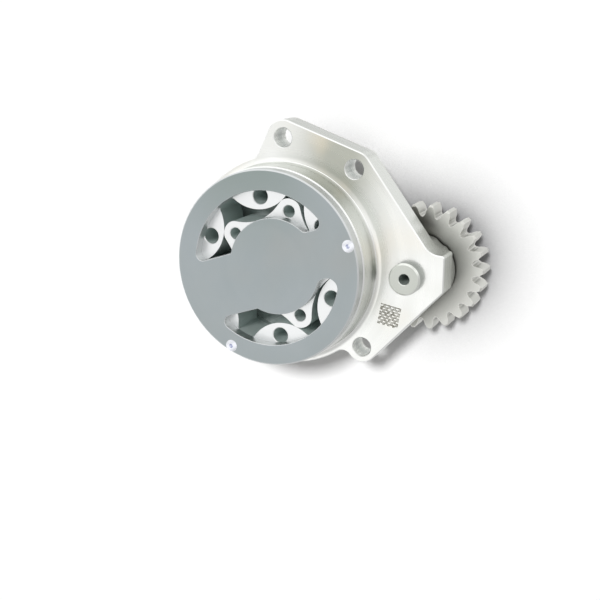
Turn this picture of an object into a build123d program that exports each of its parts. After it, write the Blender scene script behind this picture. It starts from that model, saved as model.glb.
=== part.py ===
from build123d import *
import os
from cmath import rect
from math import acos, cos, degrees, hypot, pi, radians, sin, sqrt, tan

# Gear driven gerotor oil pump, in millimetres. X is to the right, Z is up, and Y runs from the
# port cover back to the gears. The origin is where the pilot axis meets the mounting face.

# Rotor set
inner_teeth = 5
eccentricity = 4.6            # pilot axis to shaft axis
eccentric_angle = 19.4        # direction of the shaft axis from the pilot axis, degrees
lobe_circle = 45.6            # radius on which the centres of the lobe arcs lie
lobe_radius = 18.6            # radius of each lobe arc
tip_clearance = 0.07          # between the inner rotor and the lobes
valley_clearance = 0.15       # between a tooth tip and the floor of a valley
valley_fillet = 1.2
rotor_rim = 3.35              # outer rotor wall behind a valley
rotor_width = 20.0            # depth of the pocket that holds both rotors
rotor_side_play = 0.04        # at each side of the rotors
rotor_running_fit = 0.08      # radial, outer rotor in its pocket
inner_tooth_angle = 7.0       # where one inner tooth points at rest, degrees
outer_hole_radius = 3.7
outer_hole_inset = 6.1        # from the lobe tip circle out to the hole centres
inner_hole_radius = 2.8
inner_hole_inset = 6.0        # from the tooth tip circle in to the hole centres
hole_chamfer = 0.3            # on the rotor holes, the bolt holes and the oil hole
profile_steps = 16            # spline points along one inner tooth
profile_bunching = 0.75       # how far those points are drawn towards the tooth root

# Port cover
cover_thickness = 5.5
cover_setback = 0.5           # cover edge inside the pilot edge
cover_chamfer = 0.6
window_land = 11.2            # centre line of the rotors to the end of a window
short_end_land = 16.9         # the same at the late end of the lower window
window_root_cover = 0.1       # inner window edge outside the roots of the inner rotor
window_corner = 3.2
window_chamfer = 0.2
port_depth = 4.0              # shadow ports in the pocket floor

# Cover screws and dowels
screw_radius = 1.5
screw_head_radius = 2.8
screw_head_depth = 1.7
screw_dome = 0.45
screw_length = 14.0
screw_clearance = 0.2
socket_across = 2.0
socket_depth = 1.5
screw_angles = (19.7, -114.5)
dowel_radius = 1.5
dowel_length = 11.0
dowel_in_cover = 3.5
dowel_angles = (109.7, -70.0)
dowel_relief = 0.5            # room at each end of a dowel

# Housing
pilot_wall = 6.7              # pocket wall to pilot face
pilot_fillet = 3.0
pilot_chamfer = 0.7
flange_thickness = 13.0
flange_step = 3.8             # flange edge outside the pilot
flange_chamfer = 0.5
floor_thickness = 7.5
bolt_hole_radius = 4.5
bolt_angles = (90.5, 52.5, -42.9)
bolt_outsets = (11.6, 11.1, 8.9)    # bolt centres outside the pilot face
ear_walls = (3.8, 3.8, 3.0)         # metal round each bolt hole
flank_lean = 24.4             # lean of the top ear's left flank from vertical, degrees
flank_run = 25.0
pin_land = 17.2               # idler pin axis to the flange edge beside it
pin_land_up = 2.0             # height above the pin where the long edge would meet that edge
pin_land_down = 4.9
tab_rise = 11.5               # pin axis up to the shoulder above it
shoulder_fillet = 9.0
edge_corner = 1.5
foot_fillet = 4.5

# Gears
module = 2.5
pressure_angle = 20.0
tooth_root = 1.25             # tooth depth below the pitch circle, in modules
flank_steps = 4               # spline steps along one flank
drive_teeth = 24
idler_teeth = 22
gear_width = 12.0
gear_backlash = 0.12
gear_chamfer = 0.7
idler_direction = -3.4        # direction of the idler pin from the shaft, degrees
idler_tooth_angle = 1.5       # where one idler tooth points at rest, degrees
web_recess = 2.5              # in the rear face of each gear
rim_wall = 3.4
hub_wall = 5.0

# Shaft, bushes and idler pin
shaft_radius = 8.0
shaft_end_gap = 0.4           # shaft end behind the cover
shaft_shoulder = 1.0          # journal to gear seat
thread_step = 1.0             # gear seat to thread
seat_relief = 1.0             # gear seat stops this far inside the gear
shaft_chamfer = 0.8
bush_wall = 1.8
bush_fit = 0.04               # radial, shaft in its bushes
bush_length = 6.4
shaft_boss_wall = 6.2
boss_height = 7.3
boss_fillet = 2.0
web_height = 3.0
pin_radius = 7.5
pin_nose = 4.5                # pin standing out of the mounting face
pin_chamfer = 0.8
pin_oil_radius = 2.5
pin_cross_radius = 1.2
pin_boss_wall = 9.1
idler_bush_wall = 1.6
idler_fit = 0.04
washer_thickness = 1.4
washer_rim = 5.0
axial_play = 0.05
clip_thickness = 1.2
clip_height = 1.8
clip_groove = 0.6
clip_opening = 32.0           # degrees
clip_lug_radius = 1.5
pin_tail = 2.5                # pin beyond its clip

# Keys, washer and nut
rotor_key_width = 5.0
rotor_key_height = 5.0
rotor_key_length = 15.0
gear_key_width = 4.0
gear_key_height = 4.0
gear_key_length = 9.0
key_in_shaft = 0.55           # share of a key's height that lies in the shaft
gear_washer_rim = 5.5
gear_washer_thickness = 2.0
nut_height = 7.0
nut_across = 18.0
thread_tail = 2.0

cut_over = 1.0                # how far a cutting shape passes the metal it cuts

# Places that follow from the sizes above
outer_lobes = inner_teeth + 1
lobe_tip = lobe_circle - lobe_radius
inner_tip = lobe_circle + eccentricity - lobe_radius
inner_root = lobe_circle - eccentricity - lobe_radius
valley_radius = inner_tip + eccentricity + valley_clearance
window_inner_reach = inner_root + window_root_cover
window_round_end = (valley_radius - window_inner_reach) / 3
outer_rotor_radius = valley_radius + rotor_rim
pocket_radius = outer_rotor_radius + rotor_running_fit
pilot_radius = pocket_radius + pilot_wall
cover_radius = pilot_radius - cover_setback
flange_radius = pilot_radius + flange_step
fastener_circle = (pocket_radius + pilot_radius) / 2
shaft_x = eccentricity * cos(radians(eccentric_angle))
shaft_z = eccentricity * sin(radians(eccentric_angle))
pocket_floor = flange_thickness - floor_thickness
pocket_front = pocket_floor - rotor_width
cover_front = pocket_front - cover_thickness
outer_valley_angle = eccentric_angle + (inner_tooth_angle - eccentric_angle) * inner_teeth / outer_lobes

centre_distance = module * (drive_teeth + idler_teeth) / 2
pin_x = shaft_x + centre_distance * cos(radians(idler_direction))
pin_z = shaft_z + centre_distance * sin(radians(idler_direction))
boss_face = flange_thickness + boss_height
gear_front = boss_face + washer_thickness + 2 * axial_play
gear_rear = gear_front + gear_width
gear_seat_radius = shaft_radius - shaft_shoulder
thread_radius = gear_seat_radius - thread_step
idler_pitch = 360 / idler_teeth
idler_lead = (idler_tooth_angle - idler_direction - 180) % idler_pitch
drive_tooth_angle = idler_direction - idler_lead * idler_teeth / drive_teeth + 180 / drive_teeth


# Shared shapes
def slab(sketch, front, rear):
    return extrude(Plane.XZ.offset(-rear) * sketch, rear - front)


def disc(x, z, radius):
    return Pos(x, z) * Circle(radius)


def turned(x, z, *profile):
    outline = make_face(Polyline(*profile, close=True))
    return Pos(x, 0, z) * revolve(outline, Axis.Y)


def ring(x, z, inner, outer, front, rear):
    return slab(disc(x, z, outer) - disc(x, z, inner), front, rear)


def on_circle(radius, angle):
    return radius * cos(radians(angle)), radius * sin(radians(angle))


def key_block(x, z, radius, width, height, front, length):
    lift = radius - height * key_in_shaft + height / 2
    middle = front + length / 2
    return Pos(x, middle, z + lift) * Box(width, length, height)


bolt_centres = [on_circle(pilot_radius + out, a) for out, a in zip(bolt_outsets, bolt_angles)]
ear_radii = [bolt_hole_radius + wall for wall in ear_walls]


# Rotors
def lobe_ring(radius, hole_radius, angle):
    return PolarLocations(radius, outer_lobes, angle) * Circle(hole_radius)


def outer_rotor():
    lobe_angle = outer_valley_angle + 180 / outer_lobes
    space = Circle(valley_radius) - lobe_ring(lobe_circle, lobe_radius, lobe_angle)
    space = fillet(space.vertices(), valley_fillet)
    holes = lobe_ring(lobe_tip + outer_hole_inset, outer_hole_radius, lobe_angle)
    profile = Circle(outer_rotor_radius) - space - holes
    body = slab(profile, pocket_front + rotor_side_play, pocket_floor - rotor_side_play)
    return break_hole_edges(body, outer_hole_radius)


def inner_outline():
    # The centre of a lobe, seen from the inner rotor, follows a curve with one crest for each
    # tooth. The tooth form lies one lobe radius and the tip clearance inside that curve.
    edges = []
    for tooth in range(inner_teeth):
        points = []
        directions = []
        for i in range(profile_steps + 1):
            turn = 2 * pi * (tooth - 0.5 + i / profile_steps) / inner_teeth
            turn += profile_bunching / inner_teeth * sin(inner_teeth * turn)
            path = rect(lobe_circle, turn) + rect(eccentricity, outer_lobes * turn)
            normal = rect(lobe_circle, turn) + rect(eccentricity * outer_lobes, outer_lobes * turn)
            normal /= abs(normal)
            point = path - (lobe_radius + tip_clearance) * normal
            points.append((point.real, point.imag))
            directions.append((-normal.imag, normal.real))
        edges.append(Spline(*points, tangents=(directions[0], directions[-1])))
    return make_face(edges)


def break_hole_edges(body, radius):
    rims = [edge for edge in body.edges().filter_by(GeomType.CIRCLE) if abs(edge.radius - radius) < 1e-6]
    return chamfer(rims, hole_chamfer)


def inner_rotor():
    hole_circle = inner_tip - inner_hole_inset
    profile = inner_outline() - Circle(shaft_radius)
    profile -= PolarLocations(hole_circle, inner_teeth) * Circle(inner_hole_radius)
    profile = Pos(shaft_x, shaft_z) * Rot(0, 0, inner_tooth_angle) * profile
    body = slab(profile, pocket_front + rotor_side_play, pocket_floor - rotor_side_play)
    keyway = key_block(shaft_x, shaft_z, shaft_radius, rotor_key_width, rotor_key_height,
                       pocket_front - rotor_width, 3 * rotor_width)
    return break_hole_edges(body - keyway, inner_hole_radius)


# Cover
def window_band():
    return Circle(valley_radius) - disc(shaft_x, shaft_z, window_inner_reach)


def beyond_line(distance, above, start=-2 * flange_radius, end=2 * flange_radius):
    # Everything past a line that runs parallel to the centre line of the rotors.
    height = 2 * flange_radius
    rise = distance + height / 2 if above else -distance - height / 2
    block = Pos((start + end) / 2, rise) * Rectangle(end - start, height)
    return Rot(0, 0, eccentric_angle) * block


def across_vertices(sketch):
    axis = Vector(1, 0).rotate(Axis.Z, eccentric_angle)
    return sketch.vertices().sort_by(lambda vertex: Vector(*vertex.center()).dot(axis))


def upper_window():
    window = window_band() & beyond_line(window_land, True)
    corners = across_vertices(window)
    return fillet([corners[0], corners[2], corners[3]], window_corner)


def lower_window():
    window = window_band() & beyond_line(window_land, False)
    late_end = beyond_line(short_end_land, False, -2 * flange_radius, 0)
    window &= late_end + beyond_line(0, False, 0, 2 * flange_radius)
    corners = across_vertices(window)
    window = fillet([corners[0]], window_corner)
    corners = across_vertices(window)
    return fillet(corners[-2:], window_round_end)


def screw_solid(shank_radius, head_radius, dome):
    tip = cover_front + screw_length
    neck = cover_front + screw_head_depth
    dome_radius = (head_radius ** 2 + dome ** 2) / (2 * dome)
    profile = make_face([
        Line((0, tip), (shank_radius, tip)),
        Line((shank_radius, tip), (shank_radius, neck)),
        Line((shank_radius, neck), (head_radius, cover_front)),
        RadiusArc((head_radius, cover_front), (0, cover_front - dome), dome_radius),
        Line((0, cover_front - dome), (0, tip)),
    ])
    return revolve(profile, Axis.Y)


def at_screws(solid):
    places = [on_circle(fastener_circle, angle) for angle in screw_angles]
    return [Pos(x, 0, z) * solid for x, z in places]


def cover_screws():
    socket = slab(RegularPolygon(socket_across / 2, 6, major_radius=False),
                  cover_front - 2 * screw_dome, cover_front + socket_depth)
    return Compound(children=at_screws(screw_solid(screw_radius, screw_head_radius, screw_dome) - socket))


def dowels(radius, relief):
    front = pocket_front - dowel_in_cover - relief
    rear = pocket_front - dowel_in_cover + dowel_length + relief
    return [slab(disc(*on_circle(fastener_circle, angle), radius), front, rear)
            for angle in dowel_angles]


def cover_dowels():
    return Compound(children=dowels(dowel_radius, 0))


def port_cover():
    plate = turned(0, 0, (0, cover_front), (cover_radius - cover_chamfer, cover_front),
                   (cover_radius, cover_front + cover_chamfer), (cover_radius, pocket_front),
                   (0, pocket_front))
    plate -= slab(upper_window() + lower_window(), cover_front - cut_over, pocket_front + cut_over)
    front = plate.faces().sort_by(Axis.Y)[0]
    plate = chamfer([edge for wire in front.inner_wires() for edge in wire.edges()], window_chamfer)
    seat = turned(0, 0, (0, cover_front), (screw_head_radius, cover_front),
                  (screw_radius + screw_clearance, cover_front + screw_head_depth),
                  (screw_radius + screw_clearance, pocket_front), (0, pocket_front))
    return plate - at_screws(seat) - dowels(dowel_radius, dowel_relief)


# Housing
def hull_of(*discs):
    return make_hull(ShapeList(edge for shape in discs for edge in shape.edges()))


def flange_plate():
    lean = radians(flank_lean)
    ear_x, ear_z = bolt_centres[0]
    foot_reach = ear_radii[0] - edge_corner
    foot_x = ear_x - foot_reach * cos(lean) - flank_run * sin(lean)
    foot_z = ear_z + foot_reach * sin(lean) - flank_run * cos(lean)
    foot = disc(foot_x, foot_z, edge_corner)
    top_ear, side_ear, low_ear = [
        disc(x, z, radius) for (x, z), radius in zip(bolt_centres, ear_radii)]
    corner_x = pin_x + pin_land - edge_corner
    upper_corner = disc(corner_x, pin_z + pin_land_up, edge_corner)
    lower_corner = disc(corner_x, pin_z - pin_land_down, edge_corner)
    inner_corner = disc(pin_x - pin_land, pin_z + tab_rise, edge_corner)
    upper = hull_of(top_ear, side_ear, upper_corner, lower_corner, foot)
    lower = hull_of(low_ear, lower_corner, upper_corner, inner_corner)
    tab = Pos(pin_x + pin_land, pin_z + tab_rise) * Rectangle(
        pin_land, tab_rise, align=(Align.MAX, Align.MAX))
    return upper + lower + tab


def nearest(sketch, x, z):
    return sketch.vertices().sort_by_distance((x, z))[0]


def flange_face():
    face = flange_plate()
    face = fillet(nearest(face, pin_x + pin_land / 2, pin_z + tab_rise), shoulder_fillet)
    face = fillet(nearest(face, pin_x + pin_land, pin_z + tab_rise), edge_corner)
    face += Circle(flange_radius)
    for x, z in (bolt_centres[0], bolt_centres[2]):
        left = [vertex for vertex in face.vertices() if vertex.X < x]
        foot = min(left, key=lambda vertex: abs(hypot(vertex.X, vertex.Y) - flange_radius)
                   + hypot(vertex.X - x, vertex.Y - z) / flange_radius)
        face = fillet(foot, foot_fillet)
    return face


def boss(x, z, radius):
    root = flange_thickness
    blend = [
        Line((0, root), (radius + boss_fillet, root)),
        RadiusArc((radius + boss_fillet, root), (radius, root + boss_fillet), boss_fillet),
        Line((radius, root + boss_fillet), (radius, boss_face)),
        Line((radius, boss_face), (0, boss_face)),
        Line((0, boss_face), (0, root)),
    ]
    return Pos(x, 0, z) * revolve(make_face(blend), Axis.Y)


def pilot():
    blend = [
        Line((0, cut_over), (pilot_radius + pilot_fillet, cut_over)),
        Line((pilot_radius + pilot_fillet, cut_over), (pilot_radius + pilot_fillet, 0)),
        RadiusArc((pilot_radius + pilot_fillet, 0), (pilot_radius, -pilot_fillet), -pilot_fillet),
        Line((pilot_radius, -pilot_fillet), (pilot_radius, pocket_front + pilot_chamfer)),
        Line((pilot_radius, pocket_front + pilot_chamfer), (pilot_radius - pilot_chamfer, pocket_front)),
        Line((pilot_radius - pilot_chamfer, pocket_front), (0, pocket_front)),
        Line((0, pocket_front), (0, cut_over)),
    ]
    return revolve(make_face(blend), Axis.Y)


def rear_bosses(outline):
    shaft_boss_radius = shaft_radius + bush_wall + shaft_boss_wall
    pin_boss_radius = pin_radius + pin_boss_wall
    web = hull_of(disc(shaft_x, shaft_z, shaft_boss_radius - boss_fillet),
                  disc(pin_x, pin_z, pin_boss_radius - boss_fillet))
    bosses = slab(web, flange_thickness, flange_thickness + web_height)
    bosses += boss(shaft_x, shaft_z, shaft_boss_radius)
    bosses += boss(pin_x, pin_z, pin_boss_radius)
    return bosses & slab(offset(outline, -flange_chamfer), flange_thickness, boss_face)


def pump_housing():
    outline = flange_face()
    flange = slab(outline, 0, flange_thickness)
    rims = flange.faces().filter_by(Axis.Y)
    flange = chamfer([edge for face in rims for edge in face.outer_wire().edges()], flange_chamfer)
    body = flange + pilot() + rear_bosses(outline)
    body -= slab(Circle(pocket_radius), pocket_front - cut_over, pocket_floor)
    body -= slab(upper_window() + lower_window(), pocket_floor - cut_over, pocket_floor + port_depth)
    bush_seat = disc(shaft_x, shaft_z, shaft_radius + bush_wall)
    body -= slab(bush_seat, pocket_floor - cut_over, boss_face + cut_over)
    body -= slab(disc(pin_x, pin_z, pin_radius), -cut_over, boss_face + cut_over)
    for x, z in bolt_centres:
        body -= turned(x, z, (0, 0), (bolt_hole_radius + hole_chamfer, 0), (bolt_hole_radius, hole_chamfer),
                       (bolt_hole_radius, flange_thickness - hole_chamfer),
                       (bolt_hole_radius + hole_chamfer, flange_thickness), (0, flange_thickness))
    for angle in screw_angles:
        hole = disc(*on_circle(fastener_circle, angle), screw_radius)
        body -= slab(hole, pocket_front - cut_over, cover_front + screw_length + 2 * screw_radius)
    return body - dowels(dowel_radius, dowel_relief)


# Bushes and shaft
def shaft_bush(front):
    inner = shaft_radius + bush_fit
    return ring(shaft_x, shaft_z, inner, shaft_radius + bush_wall, front, front + bush_length)


def shaft_bush_front():
    return shaft_bush(pocket_floor + 2 * axial_play)


def shaft_bush_rear():
    return shaft_bush(boss_face - bush_length - 2 * axial_play)


def gear_key_front():
    return gear_front + (gear_width - gear_key_length) / 2


def drive_shaft():
    front = pocket_front + shaft_end_gap
    nut_rear = gear_rear + gear_washer_thickness + nut_height
    end = nut_rear + thread_tail
    body = turned(shaft_x, shaft_z, (0, front), (shaft_radius - shaft_chamfer, front),
                  (shaft_radius, front + shaft_chamfer), (shaft_radius, gear_front),
                  (gear_seat_radius, gear_front), (gear_seat_radius, gear_rear - seat_relief),
                  (thread_radius, gear_rear - seat_relief), (thread_radius, end - shaft_chamfer),
                  (thread_radius - shaft_chamfer, end), (0, end))
    body -= rotor_key()
    return body - gear_key()


def rotor_key():
    front = pocket_front + (rotor_width - rotor_key_length) / 2
    return key_block(shaft_x, shaft_z, shaft_radius, rotor_key_width, rotor_key_height, front,
                     rotor_key_length)


def gear_key():
    return key_block(shaft_x, shaft_z, gear_seat_radius, gear_key_width, gear_key_height,
                     gear_key_front(), gear_key_length)


def shaft_thrust_washer():
    front = boss_face + axial_play
    return ring(shaft_x, shaft_z, shaft_radius + bush_fit, shaft_radius + washer_rim, front,
                front + washer_thickness)


def gear_washer():
    return ring(shaft_x, shaft_z, thread_radius, thread_radius + gear_washer_rim, gear_rear,
                gear_rear + gear_washer_thickness)


def gear_nut():
    front = gear_rear + gear_washer_thickness
    hexagon = RegularPolygon(nut_across / 2, 6, major_radius=False) - Circle(thread_radius)
    blank = slab(hexagon, front, front + nut_height)
    corner = nut_across / sqrt(3)
    bevel = corner - nut_across / 2
    rounding = turned(0, 0, (0, front), (corner, front), (corner, front + nut_height - bevel / 2),
                      (corner - bevel, front + nut_height), (0, front + nut_height))
    return Pos(shaft_x, 0, shaft_z) * (blank & rounding)


# Gears
def involute(angle):
    return tan(angle) - angle


def gear_outline(teeth):
    pitch_radius = module * teeth / 2
    base_radius = pitch_radius * cos(radians(pressure_angle))
    tip_radius = pitch_radius + module
    root_radius = pitch_radius - tooth_root * module
    tooth_half = (pi * module - gear_backlash) / (4 * pitch_radius) + involute(radians(pressure_angle))
    pitch = 2 * pi / teeth

    def flank(middle, side):
        points = []
        for i in range(flank_steps + 1):
            radius = base_radius + (tip_radius - base_radius) * (i / flank_steps) ** 2
            angle = tooth_half - involute(acos(base_radius / radius))
            points.append(rect(radius, middle + side * angle))
        return [(point.real, point.imag) for point in points]

    def arc(start, radius, angle, end):
        middle = rect(radius, angle)
        return ThreePointArc(start, (middle.real, middle.imag), end)

    edges = []
    for i in range(teeth):
        rising = flank(i * pitch, -1)
        falling = flank(i * pitch, 1)
        following = flank((i + 1) * pitch, -1)
        edges.append(Spline(*rising))
        edges.append(arc(rising[-1], tip_radius, i * pitch, falling[-1]))
        edges.append(Spline(*falling))
        edges.append(arc(falling[0], root_radius, (i + 0.5) * pitch, following[0]))
    return make_face(edges)


def gear(teeth, bore, hub):
    tip_radius = module * teeth / 2 + module
    rim = module * teeth / 2 - tooth_root * module - rim_wall
    teeth_body = slab(gear_outline(teeth), gear_front, gear_rear)
    blank = turned(0, 0, (bore, gear_front), (tip_radius - gear_chamfer, gear_front),
                   (tip_radius, gear_front + gear_chamfer), (tip_radius, gear_rear - gear_chamfer),
                   (tip_radius - gear_chamfer, gear_rear), (rim, gear_rear),
                   (rim - web_recess, gear_rear - web_recess),
                   (hub + web_recess, gear_rear - web_recess), (hub, gear_rear), (bore, gear_rear))
    return teeth_body & blank


def drive_gear():
    blank = gear(drive_teeth, gear_seat_radius, gear_seat_radius + hub_wall)
    placed = Pos(shaft_x, 0, shaft_z) * Rot(0, -drive_tooth_angle, 0) * blank
    keyway = key_block(shaft_x, shaft_z, gear_seat_radius, gear_key_width, gear_key_height,
                       gear_front - gear_width, 3 * gear_width)
    return placed - keyway


def idler_gear():
    bore = pin_radius + idler_bush_wall
    blank = gear(idler_teeth, bore, bore + hub_wall)
    return Pos(pin_x, 0, pin_z) * Rot(0, -idler_tooth_angle, 0) * blank


# Idler pin and what it carries
def idler_bush():
    bush = ring(pin_x, pin_z, pin_radius + idler_fit, pin_radius + idler_bush_wall, gear_front, gear_rear)
    return bush - pin_cross_hole(pin_radius + 2 * idler_bush_wall)


def pin_cross_hole(reach):
    return Pos(pin_x, (gear_front + gear_rear) / 2, pin_z) * Cylinder(pin_cross_radius, 2 * reach)


def rear_washer_front():
    return gear_rear + 2 * axial_play


def clip_front():
    return rear_washer_front() + washer_thickness + axial_play


def idler_pin():
    front = -pin_nose
    groove = pin_radius - clip_groove
    groove_rear = clip_front() + clip_thickness + axial_play
    end = groove_rear + pin_tail
    body = turned(pin_x, pin_z, (0, front), (pin_radius - pin_chamfer, front),
                  (pin_radius, front + pin_chamfer), (pin_radius, clip_front() - axial_play),
                  (groove, clip_front() - axial_play), (groove, groove_rear),
                  (pin_radius, groove_rear), (pin_radius, end - pin_chamfer),
                  (pin_radius - pin_chamfer, end), (0, end))
    oil_end = (gear_front + gear_rear) / 2 + pin_oil_radius
    body -= turned(pin_x, pin_z, (0, front), (pin_oil_radius + hole_chamfer, front),
                   (pin_oil_radius, front + hole_chamfer), (pin_oil_radius, oil_end), (0, oil_end))
    return body - pin_cross_hole(pin_radius + cut_over)


def idler_washer(front):
    return ring(pin_x, pin_z, pin_radius + idler_fit, pin_radius + washer_rim, front,
                front + washer_thickness)


def idler_front_washer():
    return idler_washer(boss_face + axial_play)


def idler_rear_washer():
    return idler_washer(rear_washer_front())


def idler_clip():
    inner = pin_radius - clip_groove + idler_fit
    outer = inner + clip_height
    band = Circle(outer) - Circle(inner)
    reach = 2 * outer
    half = radians(clip_opening / 2)
    band -= make_face(Polyline((0, 0), (reach * cos(half), reach * sin(half)),
                               (reach * cos(half), -reach * sin(half)), close=True))
    lug_angle = clip_opening / 2 + degrees(clip_lug_radius / outer)
    for side in (-1, 1):
        x, z = on_circle(inner + clip_lug_radius, side * lug_angle)
        band += disc(x, z, clip_lug_radius)
        band -= disc(x, z, clip_lug_radius / 2)
    return slab(Pos(pin_x, pin_z) * band, clip_front(), clip_front() + clip_thickness)


parts = {
    "pump_housing": pump_housing,
    "port_cover": port_cover,
    "cover_screws": cover_screws,
    "cover_dowels": cover_dowels,
    "shaft_bush_front": shaft_bush_front,
    "shaft_bush_rear": shaft_bush_rear,
    "outer_rotor": outer_rotor,
    "inner_rotor": inner_rotor,
    "rotor_key": rotor_key,
    "drive_shaft": drive_shaft,
    "shaft_thrust_washer": shaft_thrust_washer,
    "drive_gear": drive_gear,
    "gear_key": gear_key,
    "gear_washer": gear_washer,
    "gear_nut": gear_nut,
    "idler_pin": idler_pin,
    "idler_front_washer": idler_front_washer,
    "idler_gear": idler_gear,
    "idler_bush": idler_bush,
    "idler_rear_washer": idler_rear_washer,
    "idler_clip": idler_clip,
}

os.makedirs("parts", exist_ok=True)
for name, make in parts.items():
    solid = make()
    print(name, round(solid.volume, 1), len(solid.solids()))
    export_step(solid, "parts/" + name + ".step")
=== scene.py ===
import bpy
import bmesh
from math import radians, pi, sin, cos
from mathutils import Matrix, Vector


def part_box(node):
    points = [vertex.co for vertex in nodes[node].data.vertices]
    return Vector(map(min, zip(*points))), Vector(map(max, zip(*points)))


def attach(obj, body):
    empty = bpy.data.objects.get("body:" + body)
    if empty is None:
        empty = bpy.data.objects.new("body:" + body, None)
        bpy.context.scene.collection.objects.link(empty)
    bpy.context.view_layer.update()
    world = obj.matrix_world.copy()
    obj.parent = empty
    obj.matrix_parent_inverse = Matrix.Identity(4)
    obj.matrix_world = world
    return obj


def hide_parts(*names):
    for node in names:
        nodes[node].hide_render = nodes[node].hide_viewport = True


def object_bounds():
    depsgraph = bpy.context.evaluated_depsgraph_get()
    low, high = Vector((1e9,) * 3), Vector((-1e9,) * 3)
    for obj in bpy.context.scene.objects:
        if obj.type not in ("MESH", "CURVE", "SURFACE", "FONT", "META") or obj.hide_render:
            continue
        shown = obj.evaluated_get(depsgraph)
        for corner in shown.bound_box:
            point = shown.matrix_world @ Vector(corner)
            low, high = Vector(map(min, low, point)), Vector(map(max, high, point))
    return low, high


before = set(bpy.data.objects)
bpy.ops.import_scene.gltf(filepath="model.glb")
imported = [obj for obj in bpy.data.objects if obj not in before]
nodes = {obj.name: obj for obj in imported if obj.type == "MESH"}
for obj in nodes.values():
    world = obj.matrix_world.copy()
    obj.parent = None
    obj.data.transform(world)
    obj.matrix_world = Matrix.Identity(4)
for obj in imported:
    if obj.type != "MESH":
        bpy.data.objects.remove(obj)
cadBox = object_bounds()
print("frame loaded:", len(nodes), "nodes")


def midpoint(nodeName):
    low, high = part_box(nodeName)
    return (low + high) / 2


# Lengths are in metres throughout. Both axes run along Y, and the pilot's own axis is the origin.
shaftAxis = midpoint("shaft_bush_front")
pinAxis = midpoint("idler_bush")
weldDistance = 0.000002
sliverDistance = 0.000001
nodeSpacing = (180, -160)    # node editor units to a column and a row
colourInputs, colourOutput = (6, 7), 2    # the colour sockets of a mix node


def link(tree, source, target):
    tree.links.new(source, target)


def addNode(tree, kind, place=(0, 0), **values):
    node = tree.nodes.new(kind)
    node.location = (place[0] * nodeSpacing[0], place[1] * nodeSpacing[1])
    for name, value in values.items():
        setattr(node, name, value)
    return node


def mathNode(tree, operation, first, second=None, third=None, place=(0, 0), clamp=False):
    node = addNode(tree, "ShaderNodeMath", place, operation=operation, use_clamp=clamp)
    for index, value in enumerate((first, second, third)):
        if value is None:
            continue
        if isinstance(value, (int, float)):
            node.inputs[index].default_value = value
        else:
            link(tree, value, node.inputs[index])
    return node.outputs[0]


def calculator(tree):
    def calc(operation, *values):
        return mathNode(tree, operation, *values)
    return calc


def mixColour(tree, mask, first, second, place=(0, 0), blend="MIX"):
    node = addNode(tree, "ShaderNodeMix", place, data_type="RGBA", blend_type=blend)
    sockets = (node.inputs[0], *(node.inputs[index] for index in colourInputs))
    for socket, value in zip(sockets, (mask, first, second)):
        if isinstance(value, (tuple, list)):
            socket.default_value = (*value, 1)
        elif isinstance(value, (int, float)):
            socket.default_value = value
        else:
            link(tree, value, socket)
    return node.outputs[colourOutput]


def smoothStep(tree, value, low, high, place, falling=False):
    node = addNode(tree, "ShaderNodeMapRange", place, interpolation_type="SMOOTHSTEP")
    for label, source in (("Value", value), ("From Min", low), ("From Max", high)):
        if isinstance(source, (int, float)):
            node.inputs[label].default_value = source
        else:
            link(tree, source, node.inputs[label])
    if falling:
        node.inputs["To Min"].default_value = 1.0
        node.inputs["To Max"].default_value = 0.0
    return node.outputs[0]


def newGroup(name, inputs, outputs):
    group = bpy.data.node_groups.new(name, "ShaderNodeTree")
    for label, kind, value in inputs:
        socket = group.interface.new_socket(label, in_out="INPUT", socket_type=kind)
        socket.default_value = value
    for label, kind in outputs:
        group.interface.new_socket(label, in_out="OUTPUT", socket_type=kind)
    entry = addNode(group, "NodeGroupInput", (-6, 0))
    leave = addNode(group, "NodeGroupOutput", (8, 0))
    return group, entry, leave


def useGroup(tree, group, place=(0, 0), **values):
    node = addNode(tree, "ShaderNodeGroup", place, node_tree=group)
    for name, value in values.items():
        socket = node.inputs[name.replace("_", " ")]
        if isinstance(value, (int, float, tuple)):
            socket.default_value = value
        else:
            link(tree, value, socket)
    return node


# What the groups below have in common for all metals. They put out masks and heights only.
groupForm = {
    "grainDetail": 3, "stainDetail": 4, "stainSize": 0.012, "ringDetail": 2.0, "bandDetail": 5.0,
    "bandScale": 0.12, "bevelSamples": 6, "shadeSamples": 8, "hollowBlend": 0.35, "forwardLimit": -0.3,
    "wallLimit": 0.5, "wallBlend": 0.1, "chamferSlope": cos(pi / 4), "chamferRange": 0.02,
    "cloudScale": 34.0, "cloudDetail": 1.5, "cloudWeight": 0.9, "cloudFloor": 0.32, "tintFrom": 0.45,
    "tintTo": 0.75}


def buildGrain():
    # Fine tooth of a machined or sintered face: a height and a slow stain.
    group, entry, leave = newGroup("fineGrain", [
        ("Vector", "NodeSocketVector", (0, 0, 0)), ("Grain Size", "NodeSocketFloat", 0.0002),
        ("Stain Size", "NodeSocketFloat", 0.01)],
        [("Height", "NodeSocketFloat"), ("Stain", "NodeSocketFloat")])
    for size, output, detail in (("Grain Size", "Height", groupForm["grainDetail"]),
                                 ("Stain Size", "Stain", groupForm["stainDetail"])):
        scale = mathNode(group, "DIVIDE", 1, entry.outputs[size])
        noise = addNode(group, "ShaderNodeTexNoise", (2, 0))
        noise.inputs["Detail"].default_value = detail
        link(group, entry.outputs["Vector"], noise.inputs["Vector"])
        link(group, scale, noise.inputs["Scale"])
        link(group, noise.outputs["Fac"], leave.inputs[output])
    return group


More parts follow.
